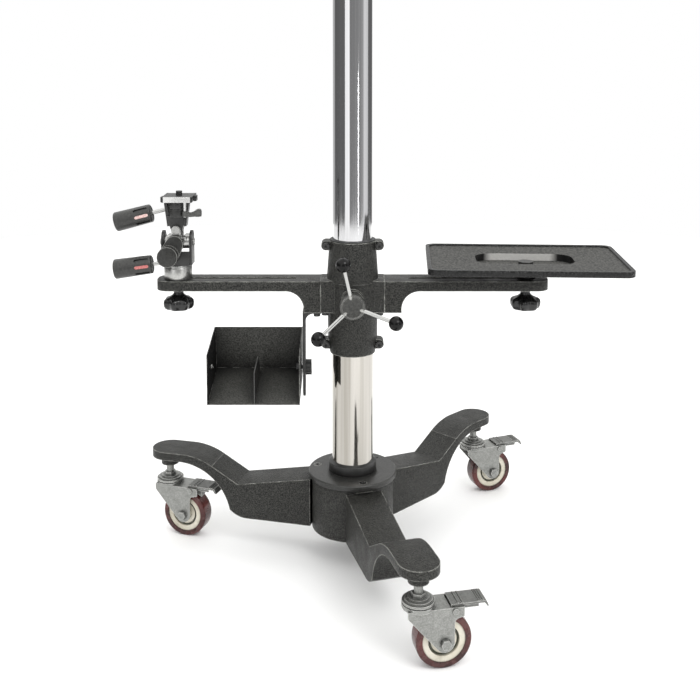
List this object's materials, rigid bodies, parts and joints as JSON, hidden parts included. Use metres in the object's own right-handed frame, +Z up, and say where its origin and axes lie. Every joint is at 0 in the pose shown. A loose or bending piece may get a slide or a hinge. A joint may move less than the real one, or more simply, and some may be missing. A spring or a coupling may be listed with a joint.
{
  "type": "wheeled camera column stand",
  "caption": "Heavy wheeled studio column stand with a cast base on braked casters, a sliding clamped carriage, a camera head, a tray and a parts bin.",
  "frame": {"origin": "on the floor, under the column's axis", "axes": "+Z up along the column, +X to the right along the tray arm, -Y towards the handwheel's side"},
  "size_m": [0.7869, 0.5954, 1.9],
  "materials": {
    "cast_paint": "hammered dark grey paint",
    "machined_grey": "smooth dark grey paint",
    "chrome_tube": "polished chrome plate",
    "zinc": "zinc plated pressed steel",
    "steel": "plain machined steel",
    "black_steel": "black powder coat",
    "black_plastic": "moulded black plastic",
    "ball_plastic": "glossy black phenolic",
    "alloy": "satin die-cast alloy",
    "tyre_red": "maroon polyurethane",
    "rim_cream": "cream moulded nylon",
    "liner": "dark bearing plastic",
    "mat": "stippled black coat"
  },
  "bodies": {
    "stand": {"base_hub": "cast_paint", "left_leg": "cast_paint", "right_leg": "cast_paint", "front_leg": "cast_paint", "hub_cover": "machined_grey", "base_screws": "steel", "foot_ring": "black_steel", "column_tube": "chrome_tube", "stop_sleeve": "chrome_tube", "column_cap": "black_plastic", "column_anchor": "steel", "caster_stems": "zinc"},
    "left_swivel": {"left_fork": "zinc", "left_caster_pins": "zinc"},
    "left_wheel": {"left_rim": "rim_cream", "left_tyre": "tyre_red"},
    "left_pedal": {"left_brake_pedal": "zinc"},
    "right_swivel": {"right_fork": "zinc", "right_caster_pins": "zinc"},
    "right_wheel": {"right_rim": "rim_cream", "right_tyre": "tyre_red"},
    "right_pedal": {"right_brake_pedal": "zinc"},
    "front_swivel": {"front_fork": "zinc", "front_caster_pins": "zinc"},
    "front_wheel": {"front_rim": "rim_cream", "front_tyre": "tyre_red"},
    "front_pedal": {"front_brake_pedal": "zinc"},
    "carriage": {"collar_front": "cast_paint", "collar_rear": "cast_paint", "guide_liners": "liner", "collar_bolts": "steel", "left_arm": "cast_paint", "right_arm": "cast_paint", "arm_bolts": "steel", "bin_bracket": "black_steel"},
    "clamp": {"clamp_spindle": "steel"},
    "handwheel": {"handwheel_hub": "machined_grey", "handwheel_rods": "chrome_tube", "handwheel_balls": "ball_plastic"},
    "bin": {"bin_shell": "black_steel", "bin_divider": "black_steel"},
    "bin_knob": {"bin_knob": "black_plastic"},
    "tray_slider": {"tray_bolt": "steel"},
    "tray": {"tray_plate": "mat"},
    "tray_knob": {"tray_knob": "black_plastic"},
    "head_slider": {"head_base": "alloy"},
    "head_knob": {"head_knob": "black_plastic"},
    "pan": {"pan_frame": "black_steel", "clamp_housing": "machined_grey"},
    "tilt": {"tilt_block": "alloy", "pivot_screws": "alloy"},
    "yoke": {"tilt_yoke": "black_steel", "platform": "alloy", "camera_plate": "black_steel"},
    "camera_screw": {"camera_screw": "black_steel"},
    "release_lever": {"release_lever": "alloy"},
    "lower_handle": {"lower_rod": "chrome_tube", "lower_grip": "black_plastic"},
    "upper_handle": {"upper_rod": "chrome_tube", "upper_grip": "black_plastic"}
  },
  "joints": [
    {"name": "left_swivel_turn", "type": "hinge", "parent": "stand", "child": "left_swivel", "pos_m": [-0.3015, 0.07629, 0.09], "axis": [0, 0, 1], "continuous": true},
    {"name": "left_wheel_spin", "type": "hinge", "parent": "left_swivel", "child": "left_wheel", "pos_m": [-0.27171, 0.06603, 0.0375], "axis": [0.3256, 0.9455, 0], "continuous": true},
    {"name": "left_pedal_press", "type": "hinge", "parent": "left_swivel", "child": "left_pedal", "pos_m": [-0.25895, 0.06164, 0.079], "axis": [0.3256, 0.9455, 0], "range_deg": [0, 8]},
    {"name": "right_swivel_turn", "type": "hinge", "parent": "stand", "child": "right_swivel", "pos_m": [0.21682, 0.22296, 0.09], "axis": [0, 0, 1], "continuous": true},
    {"name": "right_wheel_spin", "type": "hinge", "parent": "right_swivel", "child": "right_wheel", "pos_m": [0.24642, 0.23373, 0.0375], "axis": [-0.342, 0.9397, 0], "continuous": true},
    {"name": "right_pedal_press", "type": "hinge", "parent": "right_swivel", "child": "right_pedal", "pos_m": [0.2591, 0.23835, 0.079], "axis": [-0.342, 0.9397, 0], "range_deg": [0, 8]},
    {"name": "front_swivel_turn", "type": "hinge", "parent": "stand", "child": "front_swivel", "pos_m": [0.08468, -0.29925, 0.09], "axis": [0, 0, 1], "continuous": true},
    {"name": "front_wheel_spin", "type": "hinge", "parent": "front_swivel", "child": "front_wheel", "pos_m": [0.11549, -0.2927, 0.0375], "axis": [-0.2079, 0.9781, 0], "continuous": true},
    {"name": "front_pedal_press", "type": "hinge", "parent": "front_swivel", "child": "front_pedal", "pos_m": [0.1287, -0.28989, 0.079], "axis": [-0.2079, 0.9781, 0], "range_deg": [0, 8]},
    {"name": "carriage_slide", "type": "slide", "parent": "stand", "child": "carriage", "axis": [0, 0, 1], "range_m": [0, 1.35]},
    {"name": "clamp_travel", "type": "slide", "parent": "carriage", "child": "clamp", "axis": [0, -1, 0], "range_m": [0, 0.0015]},
    {"name": "handwheel_turn", "type": "hinge", "parent": "clamp", "child": "handwheel", "pos_m": [0, -0.081, 0.4164], "axis": [0, 1, 0], "range_deg": [0, 360]},
    {"name": "bin_tilt", "type": "hinge", "parent": "carriage", "child": "bin", "pos_m": [-0.0806, -0.005, 0.303], "axis": [1, 0, 0], "range_deg": [-30, 40]},
    {"name": "bin_knob_turn", "type": "hinge", "parent": "bin", "child": "bin_knob", "pos_m": [-0.07, -0.005, 0.303], "axis": [-1, 0, 0], "range_deg": [0, 360]},
    {"name": "tray_slide", "type": "slide", "parent": "carriage", "child": "tray_slider", "axis": [1, 0, 0], "range_m": [-0.04, 0.012]},
    {"name": "tray_turn", "type": "hinge", "parent": "tray_slider", "child": "tray", "pos_m": [0.268, 0, 0.47], "axis": [0, 0, 1], "continuous": true},
    {"name": "tray_knob_turn", "type": "hinge", "parent": "tray_slider", "child": "tray_knob", "pos_m": [0.268, 0, 0.4], "axis": [0, 0, -1], "range_deg": [0, 360]},
    {"name": "head_slide", "type": "slide", "parent": "carriage", "child": "head_slider", "axis": [1, 0, 0], "range_m": [-0.01, 0.132]},
    {"name": "head_knob_turn", "type": "hinge", "parent": "head_slider", "child": "head_knob", "pos_m": [-0.27, 0, 0.4], "axis": [0, 0, -1], "range_deg": [0, 360]},
    {"name": "pan_turn", "type": "hinge", "parent": "head_slider", "child": "pan", "pos_m": [-0.27, 0, 0.465], "axis": [0, 0, 1], "continuous": true},
    {"name": "tilt_turn", "type": "hinge", "parent": "pan", "child": "tilt", "pos_m": [-0.27, 0, 0.5], "axis": [1, 0, 0], "range_deg": [-75, 0]},
    {"name": "side_tilt_turn", "type": "hinge", "parent": "tilt", "child": "yoke", "pos_m": [-0.27, 0, 0.52], "axis": [0, 1, 0], "range_deg": [-25, 40]},
    {"name": "camera_screw_turn", "type": "hinge", "parent": "yoke", "child": "camera_screw", "pos_m": [-0.267, 0, 0.572], "axis": [0, 0, 1], "range_deg": [0, 360]},
    {"name": "release_lever_turn", "type": "hinge", "parent": "yoke", "child": "release_lever", "pos_m": [-0.256, -0.0152, 0.545], "axis": [0, 0, -1], "range_deg": [0, 50]},
    {"name": "lower_handle_twist", "type": "hinge", "parent": "pan", "child": "lower_handle", "pos_m": [-0.285, -0.032, 0.474], "axis": [-0.9905, 0, -0.1372], "range_deg": [0, 180]},
    {"name": "upper_handle_twist", "type": "hinge", "parent": "yoke", "child": "upper_handle", "pos_m": [-0.278, 0, 0.5527], "axis": [-0.9686, 0, -0.2488], "range_deg": [0, 180]}
  ],
  "couplings": [
    {"joint": "clamp_travel", "follows": "handwheel_turn", "m_per_rad": 0.00023873}
  ]
}
